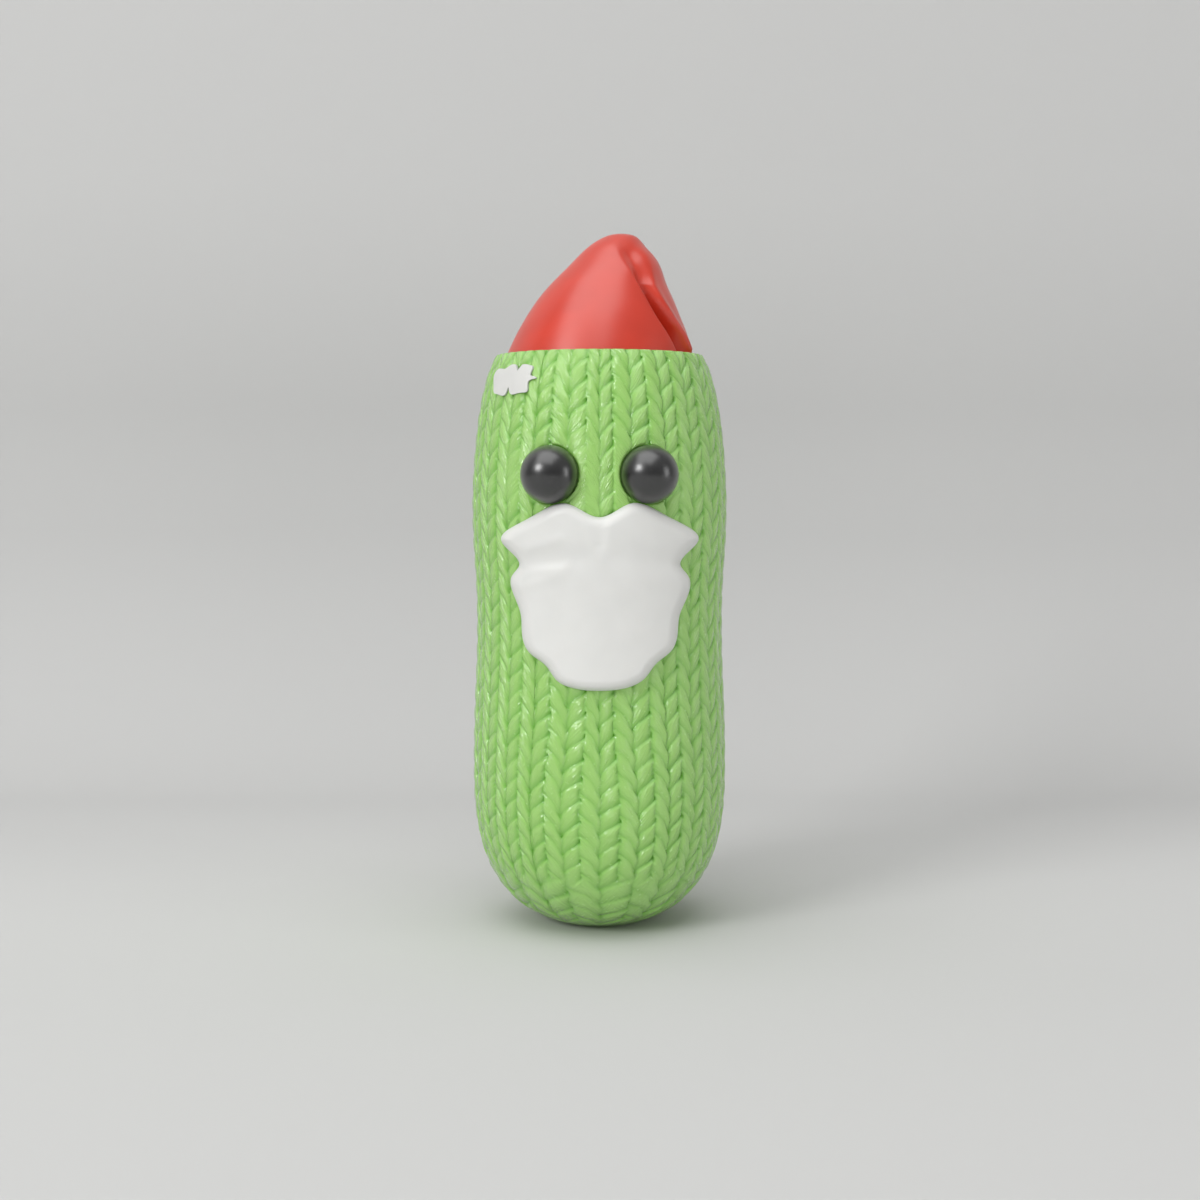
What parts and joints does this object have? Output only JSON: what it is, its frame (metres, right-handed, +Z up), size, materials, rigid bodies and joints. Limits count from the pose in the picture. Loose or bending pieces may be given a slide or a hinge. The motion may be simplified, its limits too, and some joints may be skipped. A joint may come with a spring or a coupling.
{
  "type": "pickle ornament",
  "caption": "Free-standing pickle-shaped Christmas ornament moulded like knitting, with black ball eyes, a white beard and a drooping red hat that lifts out of the mouth and turns.",
  "frame": {"origin": "centre of the flat foot that the ornament stands on", "axes": "+Z up the body's axis, -Y out of the face, +X to the viewer's right"},
  "size_m": [0.0404, 0.0436, 0.1096],
  "materials": {
    "knit_body": "green moulded knit relief, glossy",
    "inner_plastic": "plain moulded",
    "hat_band": "white, softly lumped",
    "hat": "red, satin gloss",
    "eye": "black, satin gloss",
    "beard": "white, satin gloss",
    "spring_steel": "stamped spring steel",
    "ballast_steel": "turned steel",
    "patch": "plain white"
  },
  "bodies": {
    "pickle": {"body_front_shell": "knit_body", "body_rear_shell": "knit_body", "mouth_collar": "inner_plastic", "eye_left": "eye", "eye_right": "eye", "eye_washers": "spring_steel", "beard": "beard", "beard_washers": "spring_steel", "ballast_weight": "ballast_steel", "ballast_washer": "spring_steel", "side_patch": "patch"},
    "stopper": {"hat_trim": "hat_band"},
    "hat": {"hat_shell": "hat"}
  },
  "joints": [
    {"name": "hat_lift", "type": "slide", "parent": "pickle", "child": "stopper", "axis": [0, 0, 1], "range_m": [0, 0.03]},
    {"name": "hat_turn", "type": "hinge", "parent": "stopper", "child": "hat", "pos_m": [0, 0, 0.0904], "axis": [0, 0, 1], "continuous": true}
  ]
}
